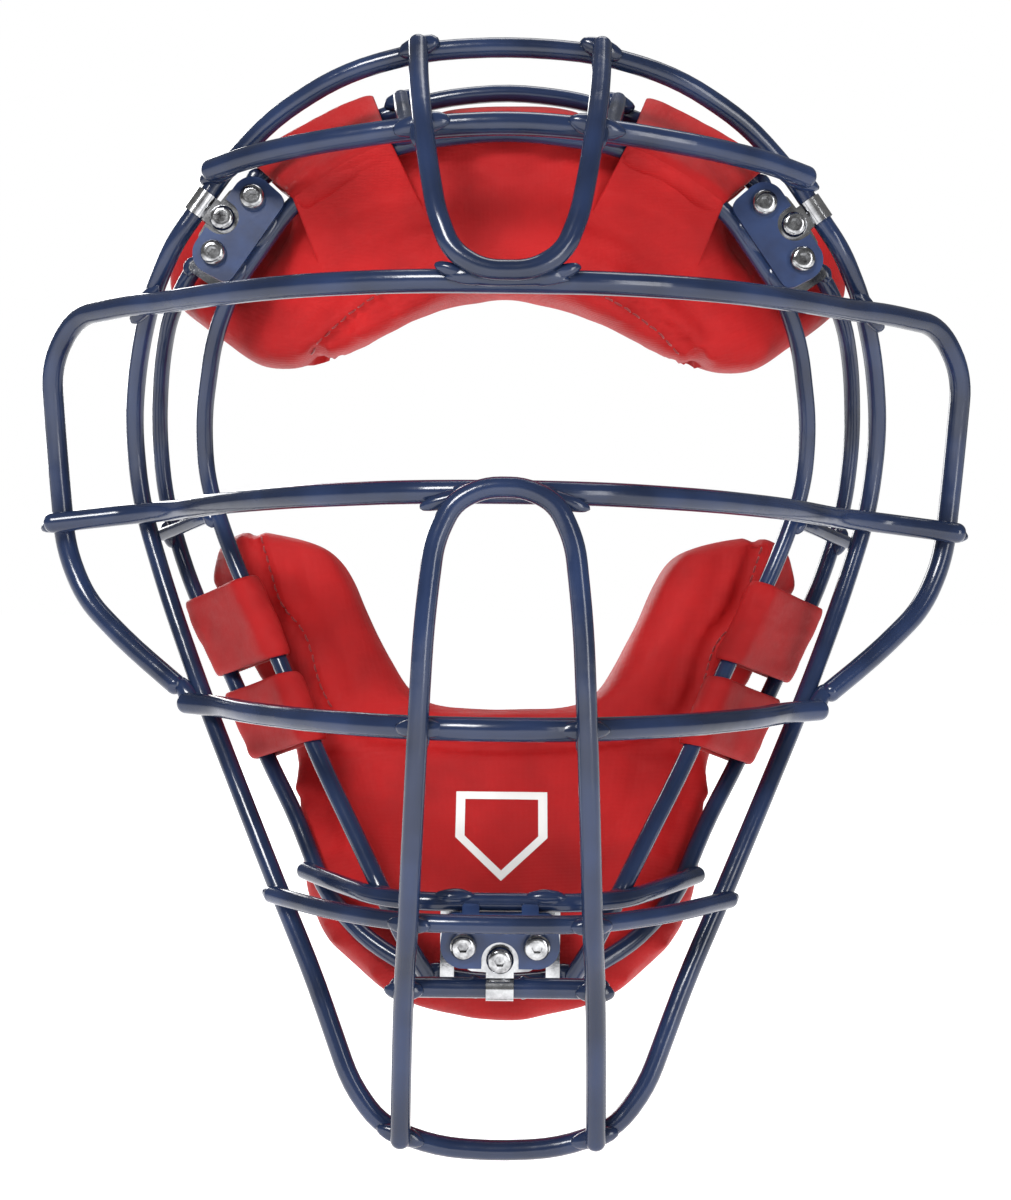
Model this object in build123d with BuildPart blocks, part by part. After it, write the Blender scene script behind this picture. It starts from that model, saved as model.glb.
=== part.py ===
"""Two-cage catcher's mask: a sprung outer wire cage on a padded inner wire cage.

Millimetres. +Z is up, the mask faces -Y and X is the wearer's left.
The origin is the point between the wearer's temples at eye height, on the
symmetry plane. The inner cage carries the pads. The outer cage hangs on three
sliding clips and moves straight back (+Y) against the springs when it is hit.
"""
import os
from math import cos, radians, sin, tan

from build123d import *

os.makedirs("parts", exist_ok=True)

# ---- driving dimensions ----
BAR_R = 3.0  # eye, mouth and brow bars
RING_R = 2.6  # outer ring, top loop, nose loop and clip bar
CHIN_BAR_R = 2.3
INNER_R = 2.4  # wires of the inner cage
SIDE_TIE_R = 2.0  # short ties between the two inner rings
TOP_TIE_R = 2.4
WELD = 0.3  # depth to which crossing wires melt together
TIP_ROUND = 0.85  # rounding of a cut wire end, as a share of its radius
BEND_SHARE = 0.45  # share of the shorter neighbouring run that a bend takes up
RUN_SHARE = 0.3  # the same beside a run that has to stay straight

PLATE_T = 2.0  # front plate of a suspension unit
CARRIAGE_T = 2.0
CARRIAGE_GAP = 0.3  # bump gap between the carriage and the front plate
BRACKET_FRONT = 22.0  # front of the plate to the rear bracket
BRACKET_T = 2.0
SCREW_SPACING = 18.6
SCREW_R = 2.0  # guide screws
SCREW_HEAD_R = 3.5
SCREW_HEAD_H = 2.3
HEX_SOCKET_R = 1.45
SLIDE_CLEARANCE = 0.06
NUT_R = 3.8
NUT_T = 3.2
CLAMP_OFFSET = 3.8  # clamp screw from the line of the guide screws
WIRE_OFFSET = 11.3  # clipped wire from the line of the guide screws
BAND_T = 0.6
BAND_W = 7.0
SPRING_WIRE_R = 0.45
SPRING_R = 3.0
SPRING_TURNS = 7

STRAP_T = 1.6
STRAP_SLACK = 0.9
BROW_SLACK = 2.2  # the brow straps hang looser on their wires

CLIP_DEPTH = CARRIAGE_GAP + PLATE_T + CARRIAGE_T / 2  # clipped wire behind the plate's front

# ---- where the three suspension units stand: x, front face y, z and outward direction ----
TEMPLE_X, TEMPLE_Y, TEMPLE_Z = 75.5, -62.0, 50.0
TEMPLE_TILT = 34.5  # outward direction above the horizontal
CHIN_Y, CHIN_Z = -98.2, -139.3


def unit_plane(x, y, z, outward):
    """Plane on a unit's front face: +Y points outward to the clipped wire, +Z to the rear."""
    turn = radians(outward)
    return Plane(origin=(x, y, z), x_dir=(-sin(turn), 0, cos(turn)), z_dir=(0, 1, 0))


UNITS = {
    "left": unit_plane(-TEMPLE_X, TEMPLE_Y, TEMPLE_Z, 180 - TEMPLE_TILT),
    "right": unit_plane(TEMPLE_X, TEMPLE_Y, TEMPLE_Z, TEMPLE_TILT),
    "chin": unit_plane(0, CHIN_Y, CHIN_Z, -90),
}


def temple_run(outward, depth, half_length):
    """Ends of a straight run of wire past the unit at the +X temple, upper end first."""
    plane = UNITS["right"]
    ends = [plane.from_local_coords((u, outward, depth)) for u in (half_length, -half_length)]
    return [(end.X, end.Y, end.Z) for end in ends]


def mirrored(half):
    """Both sides of an open wire whose half starts on or beside the symmetry plane."""
    return [(-x, y, z) for x, y, z in reversed(half) if x > 0] + half


def closed_ring(half):
    """Both sides of a ring whose half runs from its top centre to its bottom centre."""
    return half + [(-x, y, z) for x, y, z in reversed(half[1:-1])]


def bend_radii(points, closed, straight_run):
    """The largest bend that the two runs at each corner leave room for."""
    count = len(points)
    run_ends = {(abs(x), y, z) for x, y, z in straight_run}
    radii = []
    for i in range(count) if closed else range(1, count - 1):
        before = Vector(points[i]) - Vector(points[i - 1])
        after = Vector(points[(i + 1) % count]) - Vector(points[i])
        half_turn = radians(before.get_angle(after)) / 2
        x, y, z = points[i]
        share = RUN_SHARE if (abs(x), y, z) in run_ends else BEND_SHARE
        radii.append(share * min(before.length, after.length) / tan(half_turn))
    return radii


def bent_wire(label, points, wire_r, closed=False, straight_run=()):
    """A round wire bent along straight runs and tangent bends, with rounded cut ends."""
    with BuildPart() as wire:
        with BuildLine() as route:
            bends = bend_radii(points, closed, straight_run)
            FilletPolyline(*points, radius=bends, close=closed)
        with BuildSketch(Plane(origin=route.line @ 0, z_dir=route.line % 0)):
            Circle(wire_r)
        sweep(path=route.line)
        if not closed:
            cut_ends = wire.faces().filter_by(GeomType.PLANE)
            fillet(cut_ends.edges(), TIP_ROUND * wire_r)
    wire.part.label = label
    export_step(wire.part, f"parts/{label}.step")


def rod(label, start, end, wire_r):
    """A straight piece of wire with rounded cut ends."""
    axis = Vector(end) - Vector(start)
    with BuildPart() as piece:
        with BuildSketch(Plane(origin=start, z_dir=axis)):
            Circle(wire_r)
        extrude(amount=axis.length)
        fillet(piece.faces().filter_by(GeomType.PLANE).edges(), TIP_ROUND * wire_r)
    piece.part.label = label
    export_step(piece.part, f"parts/{label}.step")


# ---- outer cage ----
clipped_run = temple_run(WIRE_OFFSET, CLIP_DEPTH, 13)
outer_ring_half = [
    (0, -73, 96.2), (24, -72.4, 94.8), (45.5, -70, 89.2), (64.5, -63.5, 79.2),
    *clipped_run, (100, -50, 33), (106.9, -35, 18.5),
    (110.9, -24, 0), (109.2, -20, -24), (99.8, -26, -51), (87.3, -38, -79),
    (72.8, -55, -106.5), (59.8, -66.8, -132.5), (50, -74, -152), (38.8, -81, -179.5),
    (30.5, -82.6, -190), (16, -83, -195.1), (0, -83, -196.1),
]
bent_wire("outer_ring", closed_ring(outer_ring_half), RING_R, True, clipped_run)

top_loop_half = [
    (6, -112.5, 28.3), (13.8, -111.3, 33.2), (17.6, -108.8, 43), (20.2, -102, 57),
    (22, -96.1, 69.3), (23.6, -86.6, 82), (24.5, -75.5, 97),
]
bent_wire("top_loop", mirrored(top_loop_half), RING_R)

brow_bar_half = [
    (0, -91.5, 70.5), (24, -89.8, 69.3), (50, -83, 67.2), (69, -72.5, 66.2), (83.3, -62.1, 64.3),
]
bent_wire("brow_bar", mirrored(brow_bar_half), BAR_R)

eye_bar_half = [
    (0, -108, 26.5), (26, -105.5, 26.8), (51, -97, 27.1), (75, -80.5, 27.8),
    (96, -57.8, 29.2), (107, -49.4, 29.8), (126, -34, 29.2), (134.8, -27, 16), (134.2, -21, -10),
    (131.5, -20.5, -38), (124.5, -24, -53), (110, -31.5, -66), (92.6, -39.2, -78.9),
]
bent_wire("upper_eye_bar", mirrored(eye_bar_half), BAR_R)

lower_eye_bar_half = [
    (0, -110, -25.5), (25, -106.8, -25.6), (51, -92, -25.9), (77, -65, -26.3),
    (97, -33.6, -27), (110, -24.7, -27.6), (136.4, -26.5, -31),
]
bent_wire("lower_eye_bar", mirrored(lower_eye_bar_half), BAR_R)

nose_loop_half = [
    (5, -114.7, -24.7), (12.6, -115, -28.6), (17, -115.6, -38), (19.2, -117.2, -58),
    (20.5, -116.6, -84), (21.7, -114, -112), (22.6, -110.2, -132.6), (24.1, -99.8, -150.6),
    (24.8, -93.5, -170), (25.3, -87.1, -194),
]
bent_wire("nose_loop", mirrored(nose_loop_half), RING_R)

mouth_bar_half = [
    (0, -115.4, -83.4), (23.3, -110.7, -83.5), (48.5, -93.5, -83.3), (69, -69, -83.1),
    (80, -50.1, -82.8), (92.4, -42.4, -82.4),
]
bent_wire("mouth_bar", mirrored(mouth_bar_half), BAR_R)

chin_bar_half = [
    (0, -107.2, -132.2), (24, -105.2, -132.2), (44, -90.9, -132.1), (62.8, -69.2, -131.9),
]
bent_wire("chin_bar", mirrored(chin_bar_half), CHIN_BAR_R)

clip_bar_y = CHIN_Y + CLIP_DEPTH
clip_bar_z = CHIN_Z - WIRE_OFFSET
rod("clip_bar", (-28, clip_bar_y, clip_bar_z), (28, clip_bar_y, clip_bar_z), RING_R)

# ---- inner cage ----
plate_run = temple_run(-8.8, PLATE_T + INNER_R - WELD, 13.5)
front_ring_half = [
    (0, -68, 75.3), (28.5, -67, 71.8), (45, -63.5, 65.4), *plate_run,
    (83, -47.5, 21), (88, -35, 0), (87.6, -30.6, -18),
    (79.6, -33.5, -40), (63.5, -44, -70.4), (51.6, -57.5, -94.7), (38.2, -73.5, -116.8),
    (30.3, -83.6, -130), (24.6, -82, -142), (18.8, -74.6, -153.2),
]
bent_wire("inner_front_ring", mirrored(front_ring_half), INNER_R, straight_run=plate_run)

bracket_run = temple_run(8.95, BRACKET_FRONT + BRACKET_T + INNER_R - WELD, 17)
rear_ring_half = [
    (0, -46, 92.4), (20, -45.2, 90.4), (36, -43.5, 86), (55, -39, 78.5), *bracket_run,
    (100, -26, 31), (105, -13, 18.5), (107.7, -3, 0), (106, 0, -22),
    (97.5, -5.5, -46.5), (81, -21, -76), (68, -34.5, -99.5), (58.3, -44.8, -114.5),
    (49, -56.5, -133), (38, -65, -143.6), (25, -70.5, -150.6), (13, -72.1, -153.7),
    (0, -72.1, -154.6),
]
bent_wire("inner_rear_ring", closed_ring(rear_ring_half), INNER_R, True, bracket_run)

inner_chin_bar_half = [
    (0, -94.1, -129.0), (21, -93.9, -129.0), (32.8, -87.8, -128.9), (43.6, -71.6, -128.6),
    (55.5, -55.2, -127.6),
]
bent_wire("inner_chin_bar", mirrored(inner_chin_bar_half), INNER_R)

for side, label in ((-1, "left"), (1, "right")):
    rod(f"side_tie_{label}", (side * 106.6, -3.8, -33.2), (side * 85.6, -30.9, -27.8), SIDE_TIE_R)
    rod(f"top_tie_{label}", (side * 30.9, -46.2, 90.7), (side * 27.2, -72.8, 72.3), TOP_TIE_R)


# ---- suspension units ----
HALF_SPACING = SCREW_SPACING / 2
SCREW_PLACES = [(-HALF_SPACING, 0), (HALF_SPACING, 0)]

LOBE_R = 5.8
CARRIAGE_LOBE_R = 4.9
EAR_R = 3.6
WING_U, WING_V, WING_R = 7.0, 5.6, 1.3  # corners of the carriage beside its ear
NOTCH_R = 4.7
PLATE_BACK = -8.2  # edge of the plate that is welded to the inner cage
CHIN_TAB_U = 7.5
CHIN_TAB_W = 4.3
CHIN_TAB_BACK = -10.6
CARRIAGE_FRONT = PLATE_T + CARRIAGE_GAP
CARRIAGE_REAR = CARRIAGE_FRONT + CARRIAGE_T
LEG_OUTSIDE = 15.9  # outer edges of the rear bracket's two legs
LEG_W = 3.7
LEG_ROOT_R = 5.0  # round inner corners where the legs leave the bracket
BRACKET_EDGE = 4.2  # outward edge of the rear bracket between its legs
BRACKET_REAR = BRACKET_FRONT + BRACKET_T


def front_plate(label, plane):
    """Two-lobed plate with a notch for the clamp screw, welded to the inner cage."""
    with BuildPart() as plate:
        with BuildSketch(plane):
            with Locations(*SCREW_PLACES):
                Circle(LOBE_R)
            with Locations((-11.5, PLATE_BACK + 3), (11.5, PLATE_BACK + 3)):
                Circle(3)
            make_hull()
            with Locations((0, CLAMP_OFFSET)):
                Circle(NOTCH_R, mode=Mode.SUBTRACT)
            with Locations((0, CLAMP_OFFSET + NOTCH_R)):
                Rectangle(2 * NOTCH_R, 2 * NOTCH_R, mode=Mode.SUBTRACT)
            if label == "chin":
                with Locations((-CHIN_TAB_U, CHIN_TAB_BACK + 3), (CHIN_TAB_U, CHIN_TAB_BACK + 3)):
                    RectangleRounded(CHIN_TAB_W, 6, 0.8)
        extrude(amount=PLATE_T)
        with Locations(plane):
            with Locations(*SCREW_PLACES):
                Hole(SCREW_R + 0.05)
    return plate.part


def carriage(plane):
    """Sliding plate on the two guide screws, with the ear that holds the clamp."""
    with BuildPart() as slider:
        with BuildSketch(plane.offset(CARRIAGE_FRONT)):
            with Locations(*SCREW_PLACES):
                Circle(CARRIAGE_LOBE_R)
            with Locations((0, CLAMP_OFFSET)):
                Circle(EAR_R)
            with Locations((-WING_U, WING_V), (WING_U, WING_V)):
                Circle(WING_R)
            make_hull()
        extrude(amount=CARRIAGE_T)
        with Locations(plane.offset(CARRIAGE_REAR)):
            with Locations(*SCREW_PLACES, (0, CLAMP_OFFSET)):
                Hole(SCREW_R + SLIDE_CLEARANCE)
    return slider.part


def clip_band(plane):
    """Band round the outer cage's wire, its two tabs clamped on the carriage's ear."""
    across = Plane(
        origin=plane.from_local_coords((-BAND_W / 2, 0, 0)),
        x_dir=plane.y_dir,
        z_dir=plane.x_dir,
    )
    bore_r = RING_R + 0.05
    with BuildPart() as band:
        with BuildSketch(across):
            with Locations((WIRE_OFFSET, CLIP_DEPTH)):
                Circle(bore_r + BAND_T)
        extrude(amount=BAND_W)
        for tab_front in (CARRIAGE_FRONT - BAND_T, CARRIAGE_REAR):
            with BuildSketch(plane.offset(tab_front)):
                with Locations((0, CLAMP_OFFSET)):
                    Circle(BAND_W / 2)
                with Locations((0, (CLAMP_OFFSET + WIRE_OFFSET) / 2)):
                    Rectangle(BAND_W, WIRE_OFFSET - CLAMP_OFFSET)
            extrude(amount=BAND_T)
        with BuildSketch(across.offset(-1)):
            with Locations((WIRE_OFFSET, CLIP_DEPTH)):
                Circle(bore_r)
        extrude(amount=BAND_W + 2, mode=Mode.SUBTRACT)
        with Locations(plane.offset(CARRIAGE_FRONT - BAND_T)):
            with Locations((0, CLAMP_OFFSET)):
                Hole(SCREW_R + 0.05)
    return band.part


def rear_bracket(plane, leg_reach, back):
    """Plate behind the springs whose two legs are welded to the rear ring."""
    with BuildPart() as bracket:
        with BuildSketch(plane.offset(BRACKET_FRONT)):
            with Locations((0, (leg_reach + back) / 2)):
                RectangleRounded(2 * LEG_OUTSIDE, leg_reach - back, 1.5)
            between_legs = LEG_OUTSIDE - LEG_W
            window_end = leg_reach + 2 * LEG_ROOT_R
            window = window_end - BRACKET_EDGE
            with Locations((0, window_end - window / 2)):
                RectangleRounded(2 * between_legs, window, LEG_ROOT_R, mode=Mode.SUBTRACT)
        extrude(amount=BRACKET_T)
        with Locations(plane.offset(BRACKET_REAR)):
            with Locations(*SCREW_PLACES):
                Hole(SCREW_R + 0.05)
    return bracket.part


def socket_screw(plane, place, head_seat, shank_end):
    """Domed socket-head screw: the head's flat seat and the shank's end are depths."""
    u, v = place
    with BuildPart() as screw:
        with BuildSketch(plane.offset(head_seat)):
            with Locations((u, v)):
                Circle(SCREW_HEAD_R)
        extrude(amount=-SCREW_HEAD_H)
        head_top = screw.faces().sort_by(Axis.Y)[0]
        fillet(head_top.edges(), SCREW_HEAD_H * 0.7)
        with BuildSketch(plane.offset(head_seat)):
            with Locations((u, v)):
                Circle(SCREW_R)
        extrude(amount=shank_end - head_seat)
        with BuildSketch(plane.offset(head_seat - SCREW_HEAD_H)):
            with Locations((u, v)):
                RegularPolygon(HEX_SOCKET_R, 6)
        extrude(amount=1.4, mode=Mode.SUBTRACT)
    return screw.part


def hex_nut(plane, place, front):
    """Plain hexagon nut on the end of a screw."""
    u, v = place
    with BuildPart() as nut:
        with BuildSketch(plane.offset(front)):
            with Locations((u, v)):
                RegularPolygon(NUT_R, 6)
                Circle(SCREW_R + 0.02, mode=Mode.SUBTRACT)
        extrude(amount=NUT_T)
    return nut.part


def coil_spring(plane, place):
    """Compression spring round a guide screw, from the carriage to the rear bracket."""
    u, v = place
    start = CARRIAGE_REAR + SPRING_WIRE_R + 0.05
    height = BRACKET_FRONT - CARRIAGE_REAR - 2 * SPRING_WIRE_R - 0.1
    seat = plane.from_local_coords((u, v, start))
    with BuildPart() as spring:
        with BuildLine() as coil:
            Helix(height / SPRING_TURNS, height, SPRING_R, center=seat, direction=(0, 1, 0))
        with BuildSketch(Plane(origin=coil.line @ 0, z_dir=coil.line % 0)):
            Circle(SPRING_WIRE_R)
        sweep(path=coil.line, is_frenet=True)
    return spring.part


def write(label, solids):
    """One node of one or more separate solids."""
    with BuildPart() as group:
        for solid in solids:
            add(solid)
    group.part.label = label
    export_step(group.part, f"parts/{label}.step")


LEG_REACH = {"left": 9.6, "right": 9.6, "chin": 14.6}
BRACKET_BACK = {"left": -5.0, "right": -5.0, "chin": -7.5}
guide_screws, guide_nuts, clamp_screws, clamp_nuts = [], [], [], []
for unit, plane in UNITS.items():
    write(f"front_plate_{unit}", [front_plate(unit, plane)])
    write(f"carriage_{unit}", [carriage(plane)])
    write(f"clip_band_{unit}", [clip_band(plane)])
    write(f"rear_bracket_{unit}", [rear_bracket(plane, LEG_REACH[unit], BRACKET_BACK[unit])])
    write(f"springs_{unit}", [coil_spring(plane, place) for place in SCREW_PLACES])
    screw_end = BRACKET_REAR + NUT_T + 0.8
    guide_screws += [socket_screw(plane, place, 0, screw_end) for place in SCREW_PLACES]
    guide_nuts += [hex_nut(plane, place, BRACKET_REAR) for place in SCREW_PLACES]
    clamp_place = (0, CLAMP_OFFSET)
    clamp_seat = CARRIAGE_FRONT - BAND_T
    clamp_screws.append(socket_screw(plane, clamp_place, clamp_seat, CARRIAGE_REAR + BAND_T + 3.6))
    clamp_nuts.append(hex_nut(plane, clamp_place, CARRIAGE_REAR + BAND_T))
write("guide_screws", guide_screws)
write("guide_nuts", guide_nuts)
write("clamp_screws", clamp_screws)
write("clamp_nuts", clamp_nuts)

# ---- pads ----
PAD_POCKET_DEPTH = 36.0  # the forehead pad stays this far behind the front of a temple unit
PAD_POCKET_U = 18.0
PAD_POCKET_IN, PAD_POCKET_OUT = -9.5, 22.0

forehead_outline_half = [
    (0, 87), (20.5, 86), (25.5, 78), (33, 76.8), (44, 74), (60, 67), (80, 66), (93, 61),
    (99, 53), (102.5, 45), (103, 39), (96, 33), (81, 21.5), (72, 15),
    (61, 13.2), (47, 16.8), (28, 25), (14, 30.6), (0, 32.6),
]
with BuildPart() as forehead_pad:
    with BuildSketch(Plane.XZ):
        with BuildLine():
            Polyline(*forehead_outline_half, close=True)
        make_face()
        mirror(about=Plane.YZ)
    extrude(amount=80, both=True)
    with BuildSketch(Plane.XY):
        with BuildLine():
            ThreePointArc((-104, -13.9), (0, -64), (104, -13.9))
            Line((104, -13.9), (97, 5))
            ThreePointArc((97, 5), (0, -36), (-97, 5))
            Line((-97, 5), (-104, -13.9))
        make_face()
    extrude(amount=120, mode=Mode.INTERSECT)
    for unit in ("left", "right"):
        with BuildSketch(UNITS[unit].offset(PAD_POCKET_DEPTH)):
            with Locations((0, (PAD_POCKET_IN + PAD_POCKET_OUT) / 2)):
                Rectangle(2 * PAD_POCKET_U, PAD_POCKET_OUT - PAD_POCKET_IN)
        extrude(amount=-80, mode=Mode.SUBTRACT)
forehead_pad.part.label = "forehead_pad"
export_step(forehead_pad.part, "parts/forehead_pad.step")

chin_outline_half = [
    (0, -82.3), (14, -82.2), (27.5, -80), (38, -66), (44.5, -53), (50, -41.5), (55, -36),
    (70, -32.3), (85, -31), (93, -35), (95, -43), (87, -57), (77, -74), (66.5, -97),
    (64.5, -106), (62.5, -118), (60.5, -129), (55.5, -140.5), (46.5, -149.5), (35.5, -159),
    (22, -165), (9, -168), (0, -168.6),
]
with BuildPart() as chin_pad:
    with BuildSketch(Plane.XZ):
        with BuildLine():
            Polyline(*chin_outline_half, close=True)
        make_face()
        mirror(about=Plane.YZ)
    extrude(amount=100, both=True)
    with BuildSketch(Plane.YZ):
        with BuildLine():
            Polyline(
                (-24, -25), (-24, -62), (-28, -84), (-31.5, -99), (-41.5, -114),
                (-53, -132), (-61.5, -143.5), (-68, -153), (-69, -172),
                (-40, -172), (-36, -154), (-25, -132), (-13, -112), (-3, -92), (3, -70),
                (4, -25), close=True,
            )
        make_face()
    extrude(amount=120, both=True, mode=Mode.INTERSECT)
    with BuildSketch(Plane.XY):
        with BuildLine():
            Polyline((0, -84), (36.2, -84), (90, -12), (96, -6), (96, 5), (0, 5), close=True)
        make_face()
        mirror(about=Plane.YZ)
    extrude(amount=-180, mode=Mode.INTERSECT)
chin_pad.part.label = "chin_pad"
export_step(chin_pad.part, "parts/chin_pad.step")


# ---- pad straps: each goes round both inner rings ----
def strap(label, front_edges, rear_edges, slack):
    """Closed fabric strap round two wires that lean the same way, cut along its two edges."""
    front, front_end = Vector(front_edges[0]), Vector(front_edges[1])
    rear, rear_end = Vector(rear_edges[0]), Vector(rear_edges[1])
    span = rear - front
    along = (front_end - front + rear_end - rear) * 0.5
    square_to_span = along - span * (along.dot(span) / span.dot(span))
    edge = Plane(origin=(front + rear) * 0.5, x_dir=span, z_dir=square_to_span)
    inner_r = INNER_R + slack
    with BuildPart() as band:
        with BuildSketch(edge):
            SlotCenterToCenter(span.length, 2 * (inner_r + STRAP_T))
            SlotCenterToCenter(span.length, 2 * inner_r, mode=Mode.SUBTRACT)
        extrude(amount=along.length, dir=along)
    band.part.label = label
    export_step(band.part, f"parts/{label}.step")


STRAPS = {
    "brow_strap": (
        ((31.5, -66.2, 70.4), (57.5, -59.0, 57.9)),
        ((36.5, -43.2, 85.6), (66.0, -37.1, 72.8)),
        BROW_SLACK,
    ),
    "cheek_strap_upper": (
        ((76.1, -35.8, -46.5), (64.3, -44.0, -69.0)),
        ((94.0, -8.8, -52.5), (81.6, -20.6, -75.0)),
        STRAP_SLACK,
    ),
    "cheek_strap_lower": (
        ((62.0, -46.0, -73.5), (52.8, -56.2, -92.0)),
        ((78.8, -23.4, -80.0), (68.5, -34.0, -98.5)),
        STRAP_SLACK,
    ),
}
for name, (front_edges, rear_edges, slack) in STRAPS.items():
    for side, label in ((-1, "left"), (1, "right")):
        fronts = [(side * x, y, z) for x, y, z in front_edges]
        rears = [(side * x, y, z) for x, y, z in rear_edges]
        strap(f"{name}_{label}", fronts, rears, slack)
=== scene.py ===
"""Looks of the two-cage catcher's mask: coated wires, chrome clips, coil springs and stuffed pads."""
import math
import random
import bmesh
import bpy
from mathutils import Matrix, Vector, noise
from mathutils.bvhtree import BVHTree


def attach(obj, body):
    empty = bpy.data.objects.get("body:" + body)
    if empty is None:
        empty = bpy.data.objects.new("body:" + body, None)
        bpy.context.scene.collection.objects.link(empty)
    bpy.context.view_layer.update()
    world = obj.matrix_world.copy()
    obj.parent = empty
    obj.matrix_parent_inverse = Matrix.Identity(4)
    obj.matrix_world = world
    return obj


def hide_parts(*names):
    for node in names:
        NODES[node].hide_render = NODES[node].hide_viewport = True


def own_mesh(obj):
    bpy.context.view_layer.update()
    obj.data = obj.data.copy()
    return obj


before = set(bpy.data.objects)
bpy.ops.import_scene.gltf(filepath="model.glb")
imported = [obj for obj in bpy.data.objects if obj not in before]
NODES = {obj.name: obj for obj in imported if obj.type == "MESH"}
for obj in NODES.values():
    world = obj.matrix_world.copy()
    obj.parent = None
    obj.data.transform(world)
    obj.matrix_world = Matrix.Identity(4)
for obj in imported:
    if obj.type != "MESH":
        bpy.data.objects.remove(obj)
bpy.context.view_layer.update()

MM = 0.001
random.seed(7)


# ---------------------------------------------------------------- materials
def srgb(r, g, b):
    """8-bit display colour to linear."""
    return tuple(((c / 255 + 0.055) / 1.055) ** 2.4 for c in (r, g, b)) + (1.0,)


def new_material(name, colour, rough, metal=0.0):
    mat = bpy.data.materials.new(name)
    mat.use_nodes = True
    nodes = mat.node_tree.nodes
    shader = nodes["Principled BSDF"]
    shader.inputs["Base Color"].default_value = colour
    shader.inputs["Roughness"].default_value = rough
    shader.inputs["Metallic"].default_value = metal
    return mat, nodes, mat.node_tree.links, shader


def noise_node(nodes, links, scale, detail=4.0, rough=0.5):
    coords = nodes.new("ShaderNodeTexCoord")
    tex = nodes.new("ShaderNodeTexNoise")
    tex.inputs["Scale"].default_value = scale
    tex.inputs["Detail"].default_value = detail
    tex.inputs["Roughness"].default_value = rough
    links.new(coords.outputs["Object"], tex.inputs["Vector"])
    return tex


def vary_colour(nodes, links, source, shader, dark, light, low=0.35, high=0.65):
    ramp = nodes.new("ShaderNodeValToRGB")
    ramp.color_ramp.elements[0].position = low
    ramp.color_ramp.elements[0].color = dark
    ramp.color_ramp.elements[1].position = high
    ramp.color_ramp.elements[1].color = light
    links.new(source, ramp.inputs["Fac"])
    links.new(ramp.outputs["Color"], shader.inputs["Base Color"])
    return ramp


def vary_roughness(nodes, links, source, shader, low, high):
    span = nodes.new("ShaderNodeMapRange")
    span.inputs["To Min"].default_value = low
    span.inputs["To Max"].default_value = high
    links.new(source, span.inputs["Value"])
    links.new(span.outputs["Result"], shader.inputs["Roughness"])


def bump(nodes, links, height, shader, distance, strength=1.0, before=None):
    node = nodes.new("ShaderNodeBump")
    node.inputs["Distance"].default_value = distance
    node.inputs["Strength"].default_value = strength
    links.new(height, node.inputs["Height"])
    if before is not None:
        links.new(before.outputs["Normal"], node.inputs["Normal"])
    links.new(node.outputs["Normal"], shader.inputs["Normal"])
    return node


def coated_wire():
    """Navy dip coating: glossy and lumpy, a little darker and paler in long patches."""
    mat, nodes, links, shader = new_material("navy_coating", srgb(28, 40, 68), 0.2)
    broad = noise_node(nodes, links, 45, 2)
    vary_colour(nodes, links, broad.outputs["Fac"], shader, srgb(22, 33, 57), srgb(34, 49, 82))
    fine = noise_node(nodes, links, 300, 4, 0.55)
    vary_roughness(nodes, links, fine.outputs["Fac"], shader, 0.14, 0.26)
    first = bump(nodes, links, broad.outputs["Fac"], shader, 0.0014, 0.6)
    bump(nodes, links, fine.outputs["Fac"], shader, 0.00012, 0.5, first)
    shader.inputs["Specular IOR Level"].default_value = 0.42
    shader.inputs["Coat Weight"].default_value = 0.25
    shader.inputs["Coat Roughness"].default_value = 0.1
    return mat


def coated_plate():
    """Navy stamped plate: the same coating on flat steel."""
    mat, nodes, links, shader = new_material("navy_plate", srgb(26, 46, 86), 0.36)
    broad = noise_node(nodes, links, 120, 3)
    vary_colour(nodes, links, broad.outputs["Fac"], shader, srgb(22, 39, 74), srgb(30, 53, 96))
    fine = noise_node(nodes, links, 900, 4, 0.6)
    vary_roughness(nodes, links, fine.outputs["Fac"], shader, 0.3, 0.44)
    bump(nodes, links, fine.outputs["Fac"], shader, 0.00005, 0.5)
    shader.inputs["Coat Weight"].default_value = 0.15
    shader.inputs["Coat Roughness"].default_value = 0.2
    return mat


def plated(name, dark, light, rough_low, rough_high, scale):
    """Bright plating with faint scuffs and cloudy patches."""
    mat, nodes, links, shader = new_material(name, light, rough_low, 1.0)
    cloud = noise_node(nodes, links, scale, 5, 0.6)
    vary_colour(nodes, links, cloud.outputs["Fac"], shader, dark, light, 0.3, 0.6)
    vary_roughness(nodes, links, cloud.outputs["Fac"], shader, rough_low, rough_high)
    fine = noise_node(nodes, links, scale * 6, 3, 0.5)
    bump(nodes, links, fine.outputs["Fac"], shader, 0.00004, 0.5)
    return mat


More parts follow.
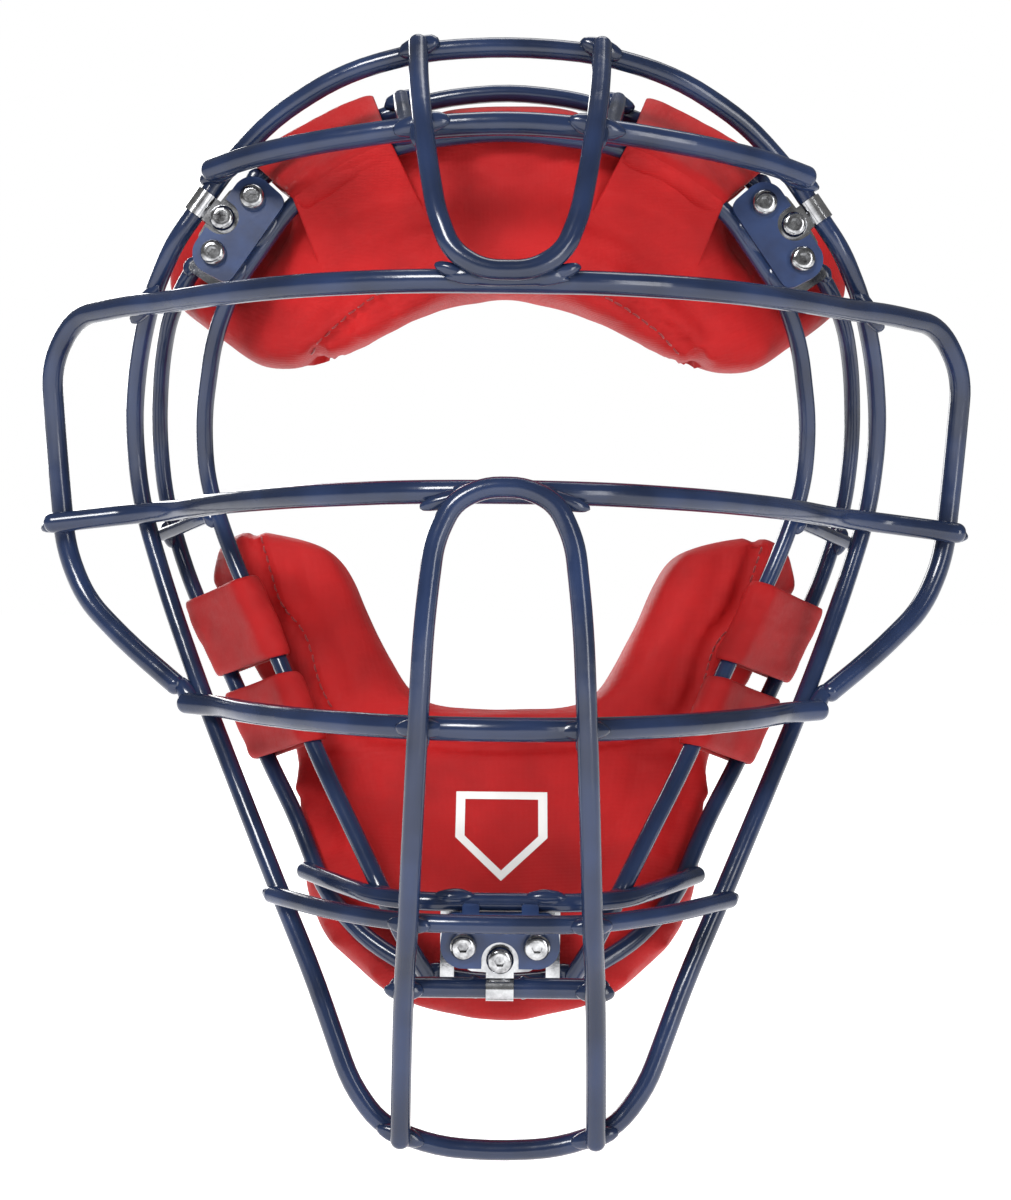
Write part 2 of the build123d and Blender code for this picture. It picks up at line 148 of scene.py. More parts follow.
def red_cover(name, base, dark, weave, sheen):
    """Smooth woven cover: fine crossed threads, soft broad unevenness and a little sheen."""
    mat, nodes, links, shader = new_material(name, base, 0.55)
    coords = nodes.new("ShaderNodeTexCoord")
    broad = noise_node(nodes, links, 38, 4, 0.55)
    vary_colour(nodes, links, broad.outputs["Fac"], shader, dark, base, 0.28, 0.62)
    fine = noise_node(nodes, links, 700, 3, 0.6)
    vary_roughness(nodes, links, fine.outputs["Fac"], shader, 0.42, 0.62)
    heights = []
    for axis in ("X", "Z"):
        wave = nodes.new("ShaderNodeTexWave")
        wave.bands_direction = axis
        wave.inputs["Scale"].default_value = weave
        wave.inputs["Distortion"].default_value = 0.6
        wave.inputs["Detail"].default_value = 1.0
        links.new(coords.outputs["Object"], wave.inputs["Vector"])
        heights.append(wave.outputs["Fac"])
    crossed = nodes.new("ShaderNodeMath")
    crossed.operation = "MULTIPLY"
    links.new(heights[0], crossed.inputs[0])
    links.new(heights[1], crossed.inputs[1])
    soft = bump(nodes, links, broad.outputs["Fac"], shader, 0.0016, 0.55)
    grain = bump(nodes, links, fine.outputs["Fac"], shader, 0.0001, 0.6, soft)
    bump(nodes, links, crossed.outputs["Value"], shader, 0.00012, 0.8, grain)
    shader.inputs["Sheen Weight"].default_value = sheen
    shader.inputs["Sheen Roughness"].default_value = 0.4
    shader.inputs["Specular IOR Level"].default_value = 0.22
    return mat


def thread(name, colour):
    """Twisted sewing thread."""
    mat, nodes, links, shader = new_material(name, colour, 0.6)
    twist = noise_node(nodes, links, 2600, 3, 0.6)
    vary_roughness(nodes, links, twist.outputs["Fac"], shader, 0.45, 0.75)
    bump(nodes, links, twist.outputs["Fac"], shader, 0.0001, 0.8)
    shader.inputs["Sheen Weight"].default_value = 0.3
    return mat


MAT = {
    "wire": coated_wire(),
    "plate": coated_plate(),
    "chrome": plated("bright_chrome", srgb(138, 139, 142), srgb(196, 197, 199), 0.1, 0.24, 200),
    "screw": plated("screw_chrome", srgb(96, 96, 99), srgb(196, 197, 199), 0.1, 0.24, 420),
    "spring": plated("spring_wire", srgb(120, 122, 126), srgb(186, 188, 192), 0.22, 0.38, 500),
    "pad": red_cover("red_pad_cover", srgb(184, 25, 27), srgb(156, 19, 22), 900, 0.0),
    "strap": red_cover("red_strap_cloth", srgb(174, 24, 26), srgb(150, 18, 21), 1100, 0.0),
    # Sewing thread in the cover's red, darkened below it as painted seam shade so the stitch rows read as
    # the seams' shadow.
    "thread": thread("red_thread_painted_seam_shade", srgb(132, 18, 22)),
    "white": thread("white_print", srgb(238, 238, 236)),
}

for name, node in NODES.items():
    if name.startswith("front_plate"):
        chosen = MAT["plate"]
    elif name.startswith(("carriage", "clip_band", "rear_bracket")):
        chosen = MAT["chrome"]
    elif name.startswith(("guide_", "clamp_")):
        chosen = MAT["screw"]
    else:
        chosen = MAT["wire"]
    node.data.materials.clear()
    node.data.materials.append(chosen)


# ---------------------------------------------------------------- mesh helpers
def link(name, mesh, material, body):
    obj = bpy.data.objects.new(name, mesh)
    bpy.context.scene.collection.objects.link(obj)
    mesh.materials.clear()
    mesh.materials.append(material)
    for poly in mesh.polygons:
        poly.use_smooth = True
    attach(obj, body)
    return obj


def tube(bm, points, radius, sides=10, closed=False):
    """A round tube along points, with a frame carried along without twist. radius may be a list."""
    points = [Vector(p) for p in points]
    count = len(points)
    radii = radius if isinstance(radius, list) else [radius] * count
    tangents = []
    for i in range(count):
        before = points[i - 1] if i or closed else points[i]
        after = points[(i + 1) % count] if i < count - 1 or closed else points[i]
        tangents.append((after - before).normalized())
    normal = tangents[0].orthogonal().normalized()
    rings = []
    for i, point in enumerate(points):
        normal = (normal - tangents[i] * normal.dot(tangents[i])).normalized()
        side = tangents[i].cross(normal)
        ring = []
        for k in range(sides):
            turn = 2 * math.pi * k / sides
            ring.append(bm.verts.new(point + (normal * math.cos(turn) + side * math.sin(turn)) * radii[i]))
        rings.append(ring)
    spans = count if closed else count - 1
    for i in range(spans):
        a, b = rings[i], rings[(i + 1) % count]
        shift = 0
        if closed and i == count - 1:
            shift = min(range(sides), key=lambda s: (a[0].co - b[s].co).length)
        for k in range(sides):
            j = (k + 1) % sides
            bm.faces.new((a[k], a[j], b[(j + shift) % sides], b[(k + shift) % sides]))
    if not closed:
        bm.faces.new(list(reversed(rings[0])))
        bm.faces.new(rings[-1])


def finish_mesh(bm, name):
    bmesh.ops.recalc_face_normals(bm, faces=bm.faces)
    mesh = bpy.data.meshes.new(name)
    bm.to_mesh(mesh)
    bm.free()
    return mesh


# ---------------------------------------------------------------- suspension units
def unit_frame(x, y, z, outward):
    """Matrix of a unit's plane: X along the screws, Y outward to the clipped wire, Z to the rear."""
    turn = math.radians(outward)
    along = Vector((-math.sin(turn), 0, math.cos(turn)))
    rear = Vector((0, 1, 0))
    out = rear.cross(along)
    m = Matrix((along, out, rear)).transposed().to_4x4()
    m.translation = Vector((x, y, z)) * MM
    return m


UNITS = {
    "left": unit_frame(-75.5, -62.0, 50.0, 145.5),
    "right": unit_frame(75.5, -62.0, 50.0, 34.5),
    "chin": unit_frame(0, -98.2, -139.3, -90),
}
FRONT_W, REAR_W = 4.35, 21.95
COIL_R = 2.95
COIL_WIRE_R = 0.55
COIL_TURNS = 8.5
COIL_STEPS = 26  # points in one turn
CLOSED_TURNS = 0.9  # turns that lie flat at each end
CLOSED_PITCH = 2 * COIL_WIRE_R * 0.93

for unit, matrix in UNITS.items():
    for number, u in enumerate((-9.3, 9.3)):
        bm = bmesh.new()
        points = []
        total = int(COIL_TURNS * COIL_STEPS)
        for i in range(total + 1):
            turn = 2 * math.pi * i / COIL_STEPS
            rounds = i / COIL_STEPS
            share = min(max((rounds - CLOSED_TURNS) / (COIL_TURNS - 2 * CLOSED_TURNS), 0), 1)
            flat = min(rounds, CLOSED_TURNS) / CLOSED_TURNS * CLOSED_PITCH
            flat += max(rounds - (COIL_TURNS - CLOSED_TURNS), 0) / CLOSED_TURNS * CLOSED_PITCH
            room = REAR_W - FRONT_W - 2 * COIL_WIRE_R - 2 * CLOSED_PITCH
            depth = FRONT_W + COIL_WIRE_R + flat + share * room
            centre = Vector((u + COIL_R * math.cos(turn), COIL_R * math.sin(turn), depth))
            points.append(matrix @ (centre * MM))
        tube(bm, points, COIL_WIRE_R * MM, 8)
        title = f"spring_{unit}_{number + 1}"
        spring = link(title, finish_mesh(bm, "spring"), MAT["spring"], "inner_cage")
        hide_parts(f"springs_{unit}")
        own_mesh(spring)


# ---------------------------------------------------------------- weld beads
def bead(bm, centre, along, length, height, depth):
    """A lump of melted wire under the coating: long in one direction, and how high and how deep."""
    along = Vector(along).normalized()
    back = Vector((0, 1, 0))
    back = (back - along * back.dot(along)).normalized()
    up = along.cross(back)
    start = len(bm.verts)
    bmesh.ops.create_icosphere(bm, subdivisions=3, radius=1.0)
    bm.verts.ensure_lookup_table()
    for vert in bm.verts[start:]:
        c = vert.co
        wobble = 1 + 0.1 * noise.noise(c * 1.7 + Vector(centre) * 0.31)
        local = along * (c.x * length / 2) + up * (c.y * height / 2) + back * (c.z * depth / 2)
        vert.co = (Vector(centre) + local * wobble) * MM


OUTER_WELDS = [
    ((22.4, -92.4, 69.4), (1, 0.1, -0.2), 15, 6.0, 4.6),
    ((22.4, -94.2, 67.0), (0.1, -0.3, -1), 9, 6.0, 4.0),
    ((24.3, -74.6, 95.2), (1, 0.1, -0.3), 12, 5.4, 4.4),
    ((13.0, -109.6, 28.4), (1, 0, 0.35), 11, 3.8, 4.4),
    ((9.6, -110.2, 27.2), (1, 0, 0.15), 10, 4.6, 3.8),
    ((0, -110.4, 26.9), (1, 0, 0), 30, 4.4, 3.6),
    ((79.2, -62.4, 64.1), (0.85, 0.5, -0.2), 15, 5.2, 4.4),
    ((101.9, -49.7, 30.4), (0.6, 0.5, -0.6), 16, 5.4, 4.4),
    ((108.4, -23.8, -27.7), (1, 0.1, 0), 13, 5.2, 4.2),
    ((132.2, -23.6, -30.4), (1, 0, -0.3), 12, 5.2, 4.4),
    ((13.4, -110.6, -27.4), (1, 0, -0.3), 16, 4.4, 4.6),
    ((0, -112.2, -25.3), (1, 0, 0), 26, 4.4, 3.6),
    ((19.9, -113.2, -83.5), (1, 0.2, 0), 13, 5.2, 4.2),
    ((20.2, -114.2, -86.6), (0.1, 0, -1), 8, 5.0, 3.8),
    ((85, -44.9, -82.8), (0.8, 0.5, 0), 16, 5.6, 4.4),
    ((90.5, -40.2, -80.4), (0.5, 0.3, 0.7), 13, 5.6, 4.6),
    ((22.6, -106.6, -132.4), (1, 0.2, 0), 11, 4.8, 4.2),
    ((60.4, -69.8, -132.2), (0.7, 0.7, 0), 12, 4.6, 3.8),
    ((25.2, -85.0, -191.6), (1, 0, 0.3), 13, 5.2, 4.4),
    ((24.1, -97.4, -150.9), (1, 0, 0), 10, 5.2, 4.2),
    ((24.1, -98.2, -153.8), (0, 0.2, -1), 9, 5.2, 3.8),
    ((6.2, -94.0, -150.6), (1, 0, 0), 4.6, 5.9, 5.9),
]
INNER_WELDS = [
    ((30.8, -85.4, -129), (0.8, 0.6, 0), 11, 4.8, 4.0),
    ((19.4, -73.6, -151.8), (1, 0.1, -0.4), 10, 4.6, 3.8),
    ((52.9, -55.6, -128), (0.6, 0.8, 0), 10, 4.6, 3.8),
    ((86.2, -30.8, -27.7), (0.2, 0.5, 0.8), 9.5, 5.4, 4.8),
    ((104, -4.4, -32.8), (0.3, 0.2, 0.9), 9, 4.4, 4.0),
    ((27.8, -70.2, 72.8), (1, 0, -0.2), 10, 5.0, 4.8),
    ((30.4, -46.4, 89.4), (1, 0.1, -0.3), 11, 5.4, 5.0),
    ((66.8, -59.6, 48.8), (-0.566, 0, 0.824), 12, 4.4, 2.4),
    ((74.5, -59.6, 37.2), (-0.566, 0, 0.824), 9, 4.4, 2.4),
    ((73.6, -37.6, 69.4), (-0.566, 0, 0.824), 6, 4.4, 2.4),
    ((91.4, -37.6, 43.6), (-0.566, 0, 0.824), 6, 4.4, 2.4),
    ((11.6, -94.8, -127.6), (1, 0, 0), 11, 4.2, 4.0),
    ((14.2, -73.9, -153.0), (1, 0, 0), 6, 4.2, 2.6),
]
for label, body, welds in (("outer", "outer_cage", OUTER_WELDS), ("inner", "inner_cage", INNER_WELDS)):
    bm = bmesh.new()
    for (x, y, z), (ax, ay, az), length, height, width in welds:
        for side in (1, -1) if x else (1,):
            bead(bm, (side * x, y, z), (side * ax, ay, az), length, height, width)
    link(f"weld_beads_{label}", finish_mesh(bm, "beads"), MAT["wire"], body)


# ---------------------------------------------------------------- pads
def select_only(obj):
    for other in bpy.context.selected_objects:
        other.select_set(False)
    obj.select_set(True)
    bpy.context.view_layer.objects.active = obj


def apply_modifier(obj, modifier):
    select_only(obj)
    bpy.ops.object.modifier_apply(modifier=modifier.name)


def inner_wires():
    """Search tree of the steel that a pad is pressed against."""
    bm = bmesh.new()
    for name, node in NODES.items():
        if name.startswith(("inner_", "side_tie", "top_tie", "rear_bracket", "guide_")):
            bm.from_mesh(node.data)
    tree = BVHTree.FromBMesh(bm)
    bm.free()
    return tree


STEEL = inner_wires()


def cushion(name, source, cap, pressure, voxel=0.004, smoothing=7):
    """A stuffed pad: the CAD block blown up as cloth, held back where steel presses on it."""
    obj = bpy.data.objects.new(name, NODES[source].data.copy())
    bpy.context.scene.collection.objects.link(obj)
    remesh = obj.modifiers.new("remesh", "REMESH")
    remesh.mode = "VOXEL"
    remesh.voxel_size = voxel
    apply_modifier(obj, remesh)
    smooth = obj.modifiers.new("smooth", "CORRECTIVE_SMOOTH")
    smooth.use_only_smooth = True
    smooth.iterations = smoothing
    smooth.factor = 0.5
    apply_modifier(obj, smooth)
    rest = [v.co.copy() for v in obj.data.vertices]

    cloth = obj.modifiers.new("cloth", "CLOTH")
    cloth.settings.quality = 5
    cloth.settings.mass = 0.3
    cloth.settings.tension_stiffness = 15
    cloth.settings.compression_stiffness = 15
    cloth.settings.shear_stiffness = 5
    cloth.settings.bending_stiffness = 0.5
    cloth.settings.use_pressure = True
    cloth.settings.uniform_pressure_force = pressure
    cloth.settings.effector_weights.gravity = 0
    cloth.collision_settings.use_collision = False
    cloth.point_cache.frame_start = 1
    cloth.point_cache.frame_end = 20
    scene = bpy.context.scene
    for number in range(1, 21):
        scene.frame_set(number)
    shaped = obj.evaluated_get(bpy.context.evaluated_depsgraph_get())
    moved = [v.co.copy() for v in shaped.data.vertices]
    obj.modifiers.remove(cloth)
    scene.frame_set(1)
    for vert, old, new in zip(obj.data.vertices, rest, moved):
        step = new - old
        room = min(cap, max(STEEL.find_nearest(old)[3] - 0.0004, 0))
        if step.length > room:
            step *= room / step.length
        vert.co = old + step
    fine = obj.modifiers.new("fine", "SUBSURF")
    fine.levels = fine.render_levels = 1
    apply_modifier(obj, fine)
    return obj


def distance_to_line(x, z, line):
    """Distance in the front view from a point to a broken line, and how far along it is, 0 to 1."""
    best, place, run = 1e9, 0.0, 0.0
    lengths = [math.dist(line[i], line[i + 1]) for i in range(len(line) - 1)]
    total = sum(lengths)
    for (x0, z0), (x1, z1), length in zip(line, line[1:], lengths):
        t = max(0, min(1, ((x - x0) * (x1 - x0) + (z - z0) * (z1 - z0)) / length**2))
        d = math.hypot(x - x0 - t * (x1 - x0), z - z0 - t * (z1 - z0))
        if d < best:
            best, place = d, (run + t * length) / total
        run += length
    return best, place


def both_sides(line):
    return [line, [(-x, z) for x, z in line]]


def sew(obj, seams, depth, width, ripple):
    """Pulls the cover in along each seam, on the side that faces the front, and puckers it."""
    for vert in obj.data.vertices:
        facing = vert.normal.y
        if facing > 0.25:
            continue
        x, z = vert.co.x / MM, vert.co.z / MM
        shift = 0.0
        for line in seams:
            d, place = distance_to_line(x, z, line)
            if d < width * 3:
                ends = min(1.0, place * 14, (1 - place) * 14)
                pull = math.exp(-((d / width) ** 2)) * depth
                pucker = math.exp(-((d / (2.2 * width)) ** 2)) * ripple
                pucker *= math.sin(place * math.dist(line[0], line[-1]) * 1.15)
                shift = max(shift, (pull + pucker) * ends)
        vert.co -= vert.normal * (shift * MM)


def crumple(obj, amount, scale, seed):
    """Low folds all over a cover."""
    for vert in obj.data.vertices:
        p = vert.co * scale + Vector((seed, seed * 0.7, 0))
        fold = noise.noise(p) + 0.5 * noise.noise(p * 2.3)
        vert.co += vert.normal * (amount * MM * fold)


def surface(obj):
    bm = bmesh.new()
    bm.from_mesh(obj.data)
    tree = BVHTree.FromBMesh(bm)
    bm.free()
    return tree


def on_front(tree, x, z, proud=0.0):
    """Point on a pad's front at x, z in millimetres, with its normal."""
    hit, normal, _, _ = tree.ray_cast(Vector((x * MM, -0.3, z * MM)), Vector((0, 1, 0)))
    if hit is None:
        return None, None
    if normal.y > 0:
        normal = -normal
    return hit + normal * proud * MM, normal


def walk(line, step):
    """Evenly spaced points along a broken line."""
    points, carry = [], 0.0
    for (x0, z0), (x1, z1) in zip(line, line[1:]):
        length = math.dist((x0, z0), (x1, z1))
        s = carry
        while s < length:
            t = s / length
            points.append((x0 + (x1 - x0) * t, z0 + (z1 - z0) * t))
            s += step
        carry = s - length
    return points


def round_off(line, rounds=3):
    """Rounds a broken line's corners by cutting them, ends kept."""
    for _ in range(rounds):
        cut = [line[0]]
        for (x0, z0), (x1, z1) in zip(line, line[1:]):
            cut.append((x0 * 0.75 + x1 * 0.25, z0 * 0.75 + z1 * 0.25))
            cut.append((x0 * 0.25 + x1 * 0.75, z0 * 0.25 + z1 * 0.75))
        cut.append(line[-1])
        line = cut
    return line


def stitches(name, tree, lines, pitch=3.0, length=2.1, radius=0.26, offset=0.0):
    """Rows of single stitches lying in a pad's front; their red thread is darker than the cover as painted
    shade along the seam.
    """
    bm = bmesh.new()
    for line in lines:
        places = walk(line, pitch)
        for (x, z), (x2, z2) in zip(places, places[1:]):
            run = math.dist((x, z), (x2, z2)) or 1
            dx, dz = (x2 - x) / run, (z2 - z) / run
            x, z = x - dz * offset, z + dx * offset
            ends = []
            for t, proud in ((0, -0.15), (0.25, 0.18), (0.5, 0.26), (0.75, 0.18), (1, -0.15)):
                point, _ = on_front(tree, x + dx * length * t, z + dz * length * t, proud)
                if point is None:
                    break
                ends.append(point)
            if len(ends) == 5:
                tube(bm, ends, radius * MM, 6)
    return link(name, finish_mesh(bm, name), MAT["thread"], "inner_cage")


FOREHEAD_SEAM = round_off([(59, 12), (50, 20), (40, 27.5), (30, 33), (20, 37)])
FOREHEAD_FOLDS = [
    round_off([(53, 50), (40, 57), (25, 60), (12, 58)]),
    round_off([(52, 38), (40, 43), (28, 51), (14, 53)]),
    round_off([(60, 22), (48, 33), (33, 42), (20, 45)]),
    round_off([(14, 72), (6, 64), (0, 62), (-6, 64), (-14, 72)]),
]
CHIN_SEAM = round_off([(77, -29), (72, -43), (68, -56), (60, -63), (56, -79), (50, -88)])
CHIN_CROSS = round_off([(-50, -88), (-30, -93), (0, -95), (30, -93), (50, -88)])
CHIN_FOLDS = [
    round_off([(66, -36), (62, -50), (52, -66), (46, -84)]),
    round_off([(40, -98), (36, -112), (24, -122)]),
    round_off([(54, -92), (52, -108), (46, -124)]),
]

forehead = cushion("forehead_pad_cover", "forehead_pad", 0.0045, 4.0)
crumple(forehead, 0.6, 38, 3.1)
sew(forehead, both_sides(FOREHEAD_SEAM), 2.2, 2.0, 0.35)
for fold in FOREHEAD_FOLDS:
    sew(forehead, both_sides(fold), 1.3, 2.6, 0.0)
chin = cushion("chin_pad_cover", "chin_pad", 0.0045, 4.0)
crumple(chin, 0.7, 34, 8.4)
sew(chin, both_sides(CHIN_SEAM) + [CHIN_CROSS], 2.2, 2.0, 0.35)
for fold in CHIN_FOLDS:
    sew(chin, both_sides(fold), 1.2, 3.0, 0.0)
for obj, source in ((forehead, "forehead_pad"), (chin, "chin_pad")):
    obj.data.materials.clear()
    obj.data.materials.append(MAT["pad"])
    for poly in obj.data.polygons:
        poly.use_smooth = True
    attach(obj, "inner_cage")
    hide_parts(source)

forehead_tree, chin_tree = surface(forehead), surface(chin)
stitches("forehead_stitches", forehead_tree, both_sides(FOREHEAD_SEAM), offset=2.2)
stitches("chin_stitches", chin_tree, both_sides(CHIN_SEAM) + [CHIN_CROSS], offset=2.2)


def plate_mark():
    """A plain five-sided outline printed on the chin pad."""
    outline = [(-13, -107), (13, -107), (13, -119), (0, -130), (-13, -119)]
    inner_scale = 0.8
    middle = (0, -117)
    bm = bmesh.new()
    count = len(outline)
    rows = []
    for i in range(count):
        a, b = outline[i], outline[(i + 1) % count]
        for k in range(12):
            t = k / 12
            x, z = a[0] + (b[0] - a[0]) * t, a[1] + (b[1] - a[1]) * t
            row = []
            for share in (1.0, 0.93, 0.87, inner_scale):
                px = middle[0] + (x - middle[0]) * share
                pz = middle[1] + (z - middle[1]) * share
                proud = 0.28 if share in (0.93, 0.87) else 0.12
                point, _ = on_front(chin_tree, px, pz, proud)
                row.append(bm.verts.new(point))
            rows.append(row)
    for i, row in enumerate(rows):
        following = rows[(i + 1) % len(rows)]
        for k in range(3):
            bm.faces.new((row[k], row[k + 1], following[k + 1], following[k]))
    return link("chin_pad_mark", finish_mesh(bm, "mark"), MAT["white"], "inner_cage")


plate_mark()


# ---------------------------------------------------------------- straps
# Centres of the front and rear wires at the strap's two edges and its middle, and how far
# the cloth stands from the front and the rear wire's centre.
STRAPS = {
    "brow_strap": (
        [(31.5, -66.2, 70.4), (45.2, -63.2, 65.0), (58.6, -58.6, 57.1)],
        [(36.5, -43.2, 85.6), (54.0, -39.3, 78.7), (70.0, -36.4, 69.7)],
        (2.9, 5.8),
    ),
    "cheek_strap_upper": (
        [(76.1, -35.8, -46.5), (70.2, -39.7, -57.8), (64.3, -44.0, -69.0)],
        [(94.0, -8.8, -52.5), (87.9, -14.5, -63.7), (81.6, -20.6, -75.0)],
        (2.9, 2.9),
    ),
    "cheek_strap_lower": (
        [(62.0, -46.0, -73.5), (57.5, -50.8, -82.7), (52.8, -56.2, -92.0)],
        [(78.8, -23.4, -80.0), (73.6, -28.6, -89.3), (68.5, -34.0, -98.5)],
        (2.9, 2.9),
    ),
}
CLOTH_T = 1.7
ROUND = 8  # spans round each wire
FLAT = 9  # spans between the wires
LENGTHS = 22  # spans along the wires
BROW_FLAP_END = ((20, 50), (52, 37))  # x, z on the pad where the brow strap's flap is sewn down


def quadratic(points, t):
    """Through three points at t = 0, 0.5 and 1."""
    a, b, c = (Vector(p) for p in points)
    return a * ((1 - t) * (1 - 2 * t)) + b * (4 * t * (1 - t)) + c * (t * (2 * t - 1))


def strap_section(front, rear, along, front_r, rear_r):
    """Closed loop round both wires: (point, outward normal, share of the way between the wires)."""
    across = (rear - front).normalized()
    lift = across.cross(along).normalized()
    loop = []
    for k in range(ROUND + 1):
        turn = math.pi * k / ROUND
        normal = across * math.sin(turn) + lift * math.cos(turn)
        loop.append((rear + normal * rear_r, normal, 0.0))
    for k in range(1, FLAT):
        t = k / FLAT
        radius = rear_r + (front_r - rear_r) * t
        loop.append((rear.lerp(front, t) - lift * radius, -lift, math.sin(math.pi * t)))
    for k in range(ROUND + 1):
        turn = math.pi * k / ROUND
        normal = -across * math.sin(turn) - lift * math.cos(turn)
        loop.append((front + normal * front_r, normal, 0.0))
    for k in range(1, FLAT):
        t = k / FLAT
        radius = front_r + (rear_r - front_r) * t
        loop.append((front.lerp(rear, t) + lift * radius, lift, math.sin(math.pi * t)))
    return loop


def wrinkle(point, seed):
    place = point * 0.055 + Vector((seed, 0, 0))
    return 0.5 * noise.noise(place * 2.2) + 0.3 * noise.noise(place * 6.0)


def skin(bm, inside, outside, closed):
    """Faces over two layers of rows of vertices, sealed along their open edges."""
    width = len(inside[0])
    spans = width if closed else width - 1
    for layer in (inside, outside):
        for a, b in zip(layer, layer[1:]):
            for k in range(spans):
                j = (k + 1) % width
                bm.faces.new((a[k], a[j], b[j], b[k]))
    for a, b in ((inside[0], outside[0]), (inside[-1], outside[-1])):
        for k in range(spans):
            j = (k + 1) % width
            bm.faces.new((a[k], a[j], b[j], b[k]))
    if not closed:
        for k in (0, -1):
            for i in range(len(inside) - 1):
                bm.faces.new((inside[i][k], inside[i + 1][k], outside[i + 1][k], outside[i][k]))


def belt(bm, fronts, rears, reach, seed):
    """Doubled cloth round both wires, drawn in a little between them, with soft edges."""
    inside, outside = [], []
    for i in range(LENGTHS + 1):
        t = i / LENGTHS
        ahead, behind = quadratic(fronts, min(t + 0.05, 1)), quadratic(fronts, max(t - 0.05, 0))
        section = strap_section(
            quadratic(fronts, t), quadratic(rears, t), (ahead - behind).normalized(), *reach
        )
        edge = min(i, LENGTHS - i)
        thick = CLOTH_T * (0.6, 0.9, 1.0)[min(edge, 2)]
        inner_row, outer_row = [], []
        for point, normal, middle in section:
            sunk = point - normal * (0.9 * middle)
            inner_row.append(bm.verts.new(sunk * MM))
            outer_row.append(bm.verts.new((sunk + normal * (thick + wrinkle(point, seed))) * MM))
        inside.append(inner_row)
        outside.append(outer_row)
    skin(bm, inside, outside, True)


def flap(bm, fronts, reach, side, seed):
    """The brow strap's cloth from the front wire down on to the pad."""
    rows = 16
    inside, outside = [], []
    for i in range(LENGTHS + 1):
        t = i / LENGTHS
        wire = quadratic(fronts, t)
        start = wire + Vector((0, -(reach[0] + CLOTH_T), 0.5))
        (x0, z0), (x1, z1) = BROW_FLAP_END
        end_x, end_z = side * (x0 + (x1 - x0) * t), z0 + (z1 - z0) * t
        first, _ = on_front(forehead_tree, wire.x, wire.z)
        offset = start - first / MM if first else Vector()
        inner_row, outer_row = [], []
        for k in range(rows + 1):
            s = k / rows
            x, z = wire.x + (end_x - wire.x) * s, wire.z + (end_z - wire.z) * s
            on_pad, _ = on_front(forehead_tree, x, z, 0.9 - 1.6 * s)
            if on_pad is None:
                on_pad = first
            point = on_pad / MM + offset * (1 - s) ** 2.2
            point.y += wrinkle(point, seed) * (1 - s)
            outer_row.append(bm.verts.new(point * MM))
            inner_row.append(bm.verts.new((point + Vector((0, CLOTH_T, -0.3))) * MM))
        inside.append(inner_row)
        outside.append(outer_row)
    skin(bm, inside, outside, False)


def cloth_strap(name, fronts, rears, reach, side, seed):
    fronts = [(side * x, y, z) for x, y, z in fronts]
    rears = [(side * x, y, z) for x, y, z in rears]
    bm = bmesh.new()
    belt(bm, fronts, rears, reach, seed)
    if name.startswith("brow"):
        flap(bm, fronts, reach, side, seed)
    cloth = MAT["pad" if name.startswith("brow") else "strap"]
    obj = link(f"{name}_cloth", finish_mesh(bm, name), cloth, "inner_cage")
    fine = obj.modifiers.new("fine", "SUBSURF")
    fine.levels = fine.render_levels = 1
    apply_modifier(obj, fine)
    for poly in obj.data.polygons:
        poly.use_smooth = True
    return obj


for index, (name, (fronts, rears, reach)) in enumerate(STRAPS.items()):
    for side, label in ((-1, "left"), (1, "right")):
        obj = cloth_strap(f"{name}_{label}", fronts, rears, reach, side, index * 3.7 + side)
        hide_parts(f"{name}_{label}")


# ---------------------------------------------------------------- floor, light and camera
FLOOR_Z = -0.235
FLOOR_HALF = 14.0


FLOOR_GLOW = 0.85


def backdrop():
    """Pale floor, lit a little from within so that it meets the pale surround without a line."""
    mesh = bpy.data.meshes.new("floor")
    corners = [(-1, -1), (1, -1), (1, 1), (-1, 1)]
    mesh.from_pydata([(x * FLOOR_HALF, y * FLOOR_HALF, FLOOR_Z) for x, y in corners], [], [(0, 1, 2, 3)])
    obj = bpy.data.objects.new("floor", mesh)
    bpy.context.scene.collection.objects.link(obj)
    mat, _, _, shader = new_material("pale_floor", (0.82, 0.82, 0.82, 1), 0.9)
    shader.inputs["Emission Color"].default_value = (1, 1, 1, 1)
    shader.inputs["Emission Strength"].default_value = FLOOR_GLOW
    mesh.materials.append(mat)


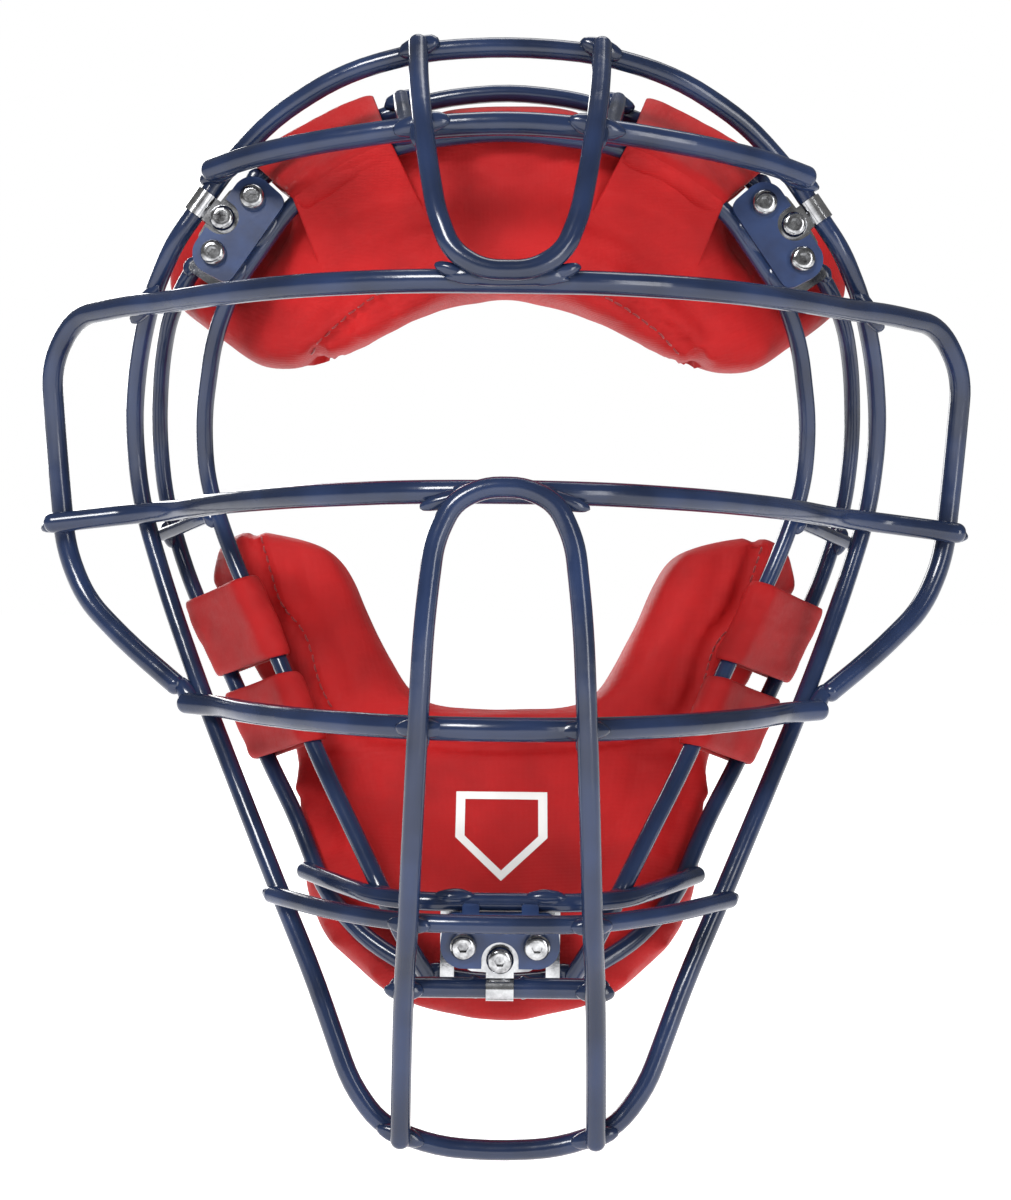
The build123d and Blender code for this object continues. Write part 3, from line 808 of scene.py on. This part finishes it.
def surround():
    """Even soft light all round, shown as a white wall where nothing stands in front of it."""
    world = bpy.data.worlds.new("studio")
    bpy.context.scene.world = world
    world.use_nodes = True
    nodes, links = world.node_tree.nodes, world.node_tree.links
    light = nodes["Background"]
    light.inputs["Color"].default_value = (1, 1, 1, 1)
    light.inputs["Strength"].default_value = 0.2
    wall = nodes.new("ShaderNodeBackground")
    wall.inputs["Color"].default_value = (1, 1, 1, 1)
    wall.inputs["Strength"].default_value = 1.0
    path = nodes.new("ShaderNodeLightPath")
    mix = nodes.new("ShaderNodeMixShader")
    links.new(path.outputs["Is Camera Ray"], mix.inputs["Fac"])
    links.new(light.outputs["Background"], mix.inputs[1])
    links.new(wall.outputs["Background"], mix.inputs[2])
    links.new(mix.outputs["Shader"], nodes["World Output"].inputs["Surface"])


def area(name, place, target, size, power):
    data = bpy.data.lights.new(name, "AREA")
    data.shape = "RECTANGLE"
    data.size, data.size_y = size
    data.energy = power
    obj = bpy.data.objects.new(name, data)
    bpy.context.scene.collection.objects.link(obj)
    obj.location = place
    obj.rotation_euler = (Vector(target) - Vector(place)).to_track_quat("-Z", "Y").to_euler()


backdrop()
surround()
MIDDLE = (0, -0.05, -0.05)
area("key", (-0.45, -1.15, 0.75), MIDDLE, (0.4, 0.4), 15)
area("fill", (0.75, -1.1, 0.1), MIDDLE, (0.3, 0.8), 5)
area("top", (0.1, 0.3, 1.2), MIDDLE, (0.8, 0.5), 5)
area("back", (-0.6, 1.2, 0.4), MIDDLE, (0.6, 0.7), 9)

camera_data = bpy.data.cameras.new("camera")
camera_data.sensor_fit = "HORIZONTAL"
camera_data.sensor_width = 36.0
camera_data.lens = 36.0 * 1633 / 1011
camera_data.shift_x = 0.0015
camera_data.clip_start = 0.01
camera = bpy.data.objects.new("camera", camera_data)
bpy.context.scene.collection.objects.link(camera)
place = Matrix.Translation((0, -0.510, -0.052))
level = Matrix.Rotation(math.radians(90), 4, "X")
roll = Matrix.Rotation(math.radians(0.64), 4, "Z")
camera.matrix_world = place @ level @ roll
bpy.context.scene.camera = camera
bpy.context.scene.view_settings.view_transform = "Standard"
